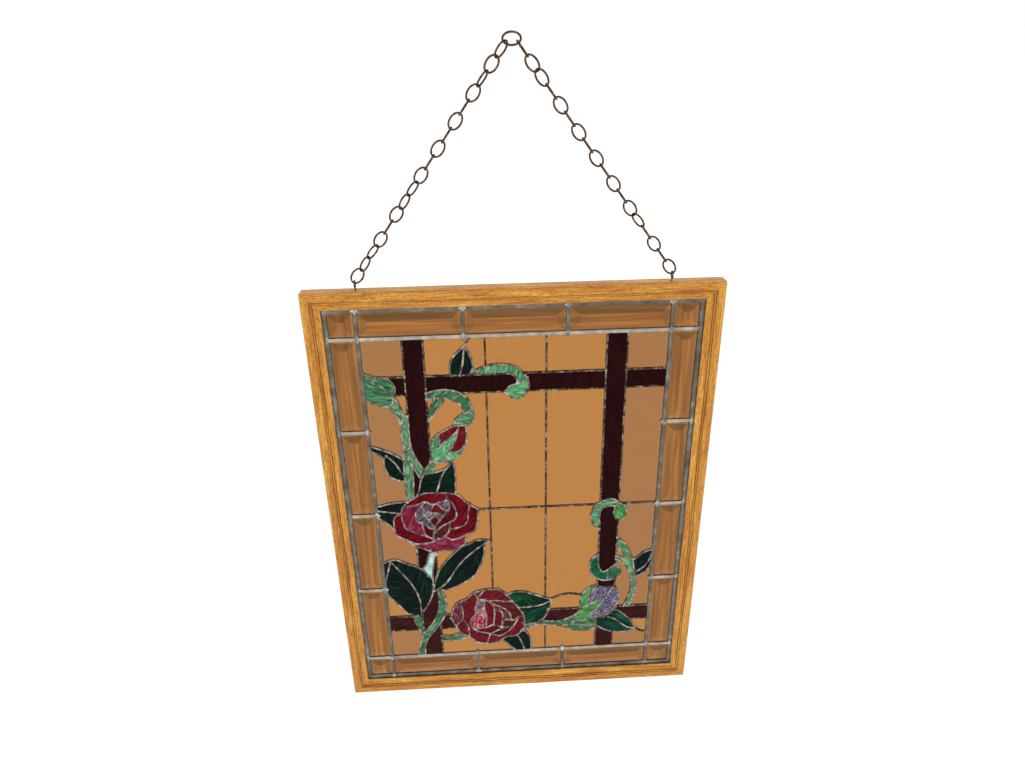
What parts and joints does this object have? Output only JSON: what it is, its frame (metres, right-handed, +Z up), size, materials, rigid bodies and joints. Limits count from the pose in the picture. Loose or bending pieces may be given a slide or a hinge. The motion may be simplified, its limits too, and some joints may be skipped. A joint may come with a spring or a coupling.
{
  "type": "stained glass window",
  "caption": "Rectangular leaded glass panel with roses on a trellis inside a bevelled border, in a mitred oak frame hung on an oval-link chain",
  "frame": {"origin": "the hanging point: the top of the hole in the chain's middle link, where it bears on the nail or hook it hangs from", "axes": "X to the viewer's right along the top rail, Y from the front of the panel to its back, Z up; the front faces -Y"},
  "size_m": [0.61, 0.024, 1.0925],
  "materials": {
    "oak": "satin varnish over honey-coloured oak, worn and darkened at the mitres and bottom corners",
    "bronze": "dark antique-bronze plating, half gloss",
    "lead": "dull grey zinc and solder with bright lumps at the joints",
    "bevel_glass": "clear polished bevelled glass with a warm cast",
    "plain_glass": "clear peach-tinted glass with a slight ripple",
    "trellis_glass": "very dark maroon glass, polished",
    "rose_glass": "streaky crimson and pink opalescent glass",
    "leaf_glass": "streaky dark green glass",
    "tendril_glass": "light green opalescent glass"
  },
  "bodies": {
    "root": {"bevel_bottom_1": "bevel_glass", "bevel_bottom_2": "bevel_glass", "bevel_bottom_3": "bevel_glass", "bevel_left_1": "bevel_glass", "bevel_left_2": "bevel_glass", "bevel_left_3": "bevel_glass", "bevel_left_4": "bevel_glass", "bevel_right_1": "bevel_glass", "bevel_right_2": "bevel_glass", "bevel_right_3": "bevel_glass", "bevel_right_4": "bevel_glass", "bevel_top_1": "bevel_glass", "bevel_top_2": "bevel_glass", "bevel_top_3": "bevel_glass", "chain_left": "bronze", "chain_right": "bronze", "chain_top_link": "bronze", "corner_bottom_left": "bevel_glass", "corner_bottom_right": "bevel_glass", "corner_top_left": "bevel_glass", "corner_top_right": "bevel_glass", "lead_and_solder": "lead", "left_spray": "leaf_glass", "lower_left_spray": "leaf_glass", "lower_right_spray": "leaf_glass", "lower_rose": "rose_glass", "pane_bottom_left": "plain_glass", "pane_bottom_middle": "plain_glass", "pane_bottom_right": "plain_glass", "pane_left_lower": "plain_glass", "pane_left_middle": "plain_glass", "pane_left_strip": "plain_glass", "pane_left_upper": "plain_glass", "pane_loop": "plain_glass", "pane_right_inner": "plain_glass", "pane_right_lower": "plain_glass", "pane_top_left": "plain_glass", "pane_top_middle": "plain_glass", "pane_top_right": "plain_glass", "panes_bottom": "plain_glass", "panes_centre": "plain_glass", "panes_right": "plain_glass", "rail_bottom": "oak", "rail_top": "oak", "right_spray": "leaf_glass", "screw_eye_left": "bronze", "screw_eye_right": "bronze", "stile_left": "oak", "stile_right": "oak", "top_leaf": "leaf_glass", "top_tendril": "tendril_glass", "trellis_bar_far_right": "trellis_glass", "trellis_bar_left": "trellis_glass", "trellis_bar_right": "trellis_glass", "trellis_left_foot": "trellis_glass", "trellis_right_foot": "trellis_glass", "trellis_right_middle": "trellis_glass", "trellis_upper_left": "trellis_glass", "trellis_upper_right": "trellis_glass", "upper_rose": "rose_glass"}
  },
  "joints": []
}
